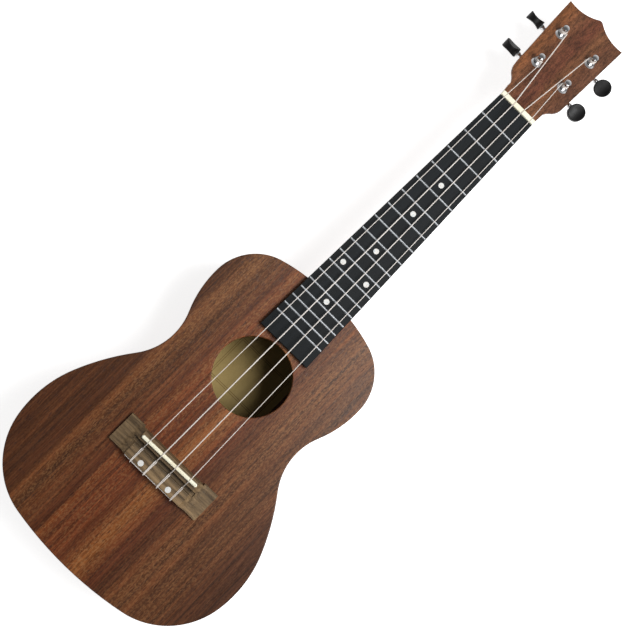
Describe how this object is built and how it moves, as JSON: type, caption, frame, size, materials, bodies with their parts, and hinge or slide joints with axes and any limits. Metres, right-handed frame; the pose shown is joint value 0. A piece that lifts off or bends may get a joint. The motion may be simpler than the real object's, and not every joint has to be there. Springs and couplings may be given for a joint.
{
  "type": "ukulele",
  "caption": "Small four-stringed wooden instrument with a waisted hollow body, round soundhole, fretted neck, tie bridge and geared tuning machines with round buttons.",
  "frame": {"origin": "on the back's flat resting face, on the centre line, straight below the end of the string scale", "axes": "+Y along the neck towards the headstock, +X towards the A string's side, +Z out of the soundboard"},
  "size_m": [0.2116, 0.6125, 0.0778],
  "materials": {
    "soundboard_wood": "satin",
    "back_and_sides_wood": "satin",
    "neck_wood": "satin",
    "inner_wood": "raw",
    "label_paper": "matt paper",
    "fingerboard_wood": "satin",
    "fret_metal": "polished nickel silver",
    "pearl": "pearl",
    "bone": "ivory",
    "bridge_wood": "satin",
    "nylon": "clear nylon",
    "tuner_chrome": "plated",
    "gear_brass": "turned",
    "bolt_steel": "zinc",
    "button_black": "moulded"
  },
  "bodies": {
    "body": {"back_braces": "inner_wood", "back_linings": "inner_wood", "back_plate": "back_and_sides_wood", "bridge": "bridge_wood", "bridge_bolts": "bolt_steel", "bridge_dots": "pearl", "bridge_patch": "inner_wood", "fan_braces": "inner_wood", "fingerboard": "fingerboard_wood", "fret_markers": "pearl", "frets": "fret_metal", "headstock": "neck_wood", "heel_cap": "neck_wood", "neck": "neck_wood", "neck_block": "inner_wood", "neck_dowels": "inner_wood", "nut": "bone", "paper_label": "label_paper", "post_bushings": "tuner_chrome", "saddle": "bone", "side_left": "back_and_sides_wood", "side_right": "back_and_sides_wood", "soundboard": "soundboard_wood", "string_a": "nylon", "string_c": "nylon", "string_e": "nylon", "string_g": "nylon", "tail_block": "inner_wood", "top_cross_braces": "inner_wood", "top_linings": "inner_wood", "tuner_plate_a": "tuner_chrome", "tuner_plate_c": "tuner_chrome", "tuner_plate_e": "tuner_chrome", "tuner_plate_g": "tuner_chrome", "tuner_screws": "tuner_chrome"},
    "button_shaft_g": {"worm_shaft_g": "tuner_chrome", "button_g": "button_black"},
    "string_post_g": {"post_g": "tuner_chrome", "worm_gear_g": "gear_brass", "gear_screw_g": "tuner_chrome", "winding_g": "nylon"},
    "button_shaft_c": {"worm_shaft_c": "tuner_chrome", "button_c": "button_black"},
    "string_post_c": {"post_c": "tuner_chrome", "worm_gear_c": "gear_brass", "gear_screw_c": "tuner_chrome", "winding_c": "nylon"},
    "button_shaft_e": {"worm_shaft_e": "tuner_chrome", "button_e": "button_black"},
    "string_post_e": {"post_e": "tuner_chrome", "worm_gear_e": "gear_brass", "gear_screw_e": "tuner_chrome", "winding_e": "nylon"},
    "button_shaft_a": {"worm_shaft_a": "tuner_chrome", "button_a": "button_black"},
    "string_post_a": {"post_a": "tuner_chrome", "worm_gear_a": "gear_brass", "gear_screw_a": "tuner_chrome", "winding_a": "nylon"}
  },
  "joints": [
    {"name": "button_g_turn", "type": "hinge", "parent": "body", "child": "button_shaft_g", "pos_m": [-0.0149, 0.42953, 0.03878], "axis": [1, 0, 0], "continuous": true},
    {"name": "post_g_turn", "type": "hinge", "parent": "body", "child": "string_post_g", "pos_m": [-0.0149, 0.42366, 0.04003], "axis": [0, 0.2079, 0.9781], "continuous": true},
    {"name": "button_c_turn", "type": "hinge", "parent": "body", "child": "button_shaft_c", "pos_m": [-0.017, 0.46523, 0.03119], "axis": [1, 0, 0], "continuous": true},
    {"name": "post_c_turn", "type": "hinge", "parent": "body", "child": "string_post_c", "pos_m": [-0.017, 0.45936, 0.03244], "axis": [0, 0.2079, 0.9781], "continuous": true},
    {"name": "button_e_turn", "type": "hinge", "parent": "body", "child": "button_shaft_e", "pos_m": [0.017, 0.46523, 0.03119], "axis": [1, 0, 0], "continuous": true},
    {"name": "post_e_turn", "type": "hinge", "parent": "body", "child": "string_post_e", "pos_m": [0.017, 0.45936, 0.03244], "axis": [0, 0.2079, 0.9781], "continuous": true},
    {"name": "button_a_turn", "type": "hinge", "parent": "body", "child": "button_shaft_a", "pos_m": [0.0149, 0.42953, 0.03878], "axis": [1, 0, 0], "continuous": true},
    {"name": "post_a_turn", "type": "hinge", "parent": "body", "child": "string_post_a", "pos_m": [0.0149, 0.42366, 0.04003], "axis": [0, 0.2079, 0.9781], "continuous": true}
  ],
  "couplings": [
    {"joint": "post_g_turn", "follows": "button_g_turn", "ratio": 0.071429},
    {"joint": "post_c_turn", "follows": "button_c_turn", "ratio": 0.071429},
    {"joint": "post_e_turn", "follows": "button_e_turn", "ratio": 0.071429},
    {"joint": "post_a_turn", "follows": "button_a_turn", "ratio": 0.071429}
  ]
}
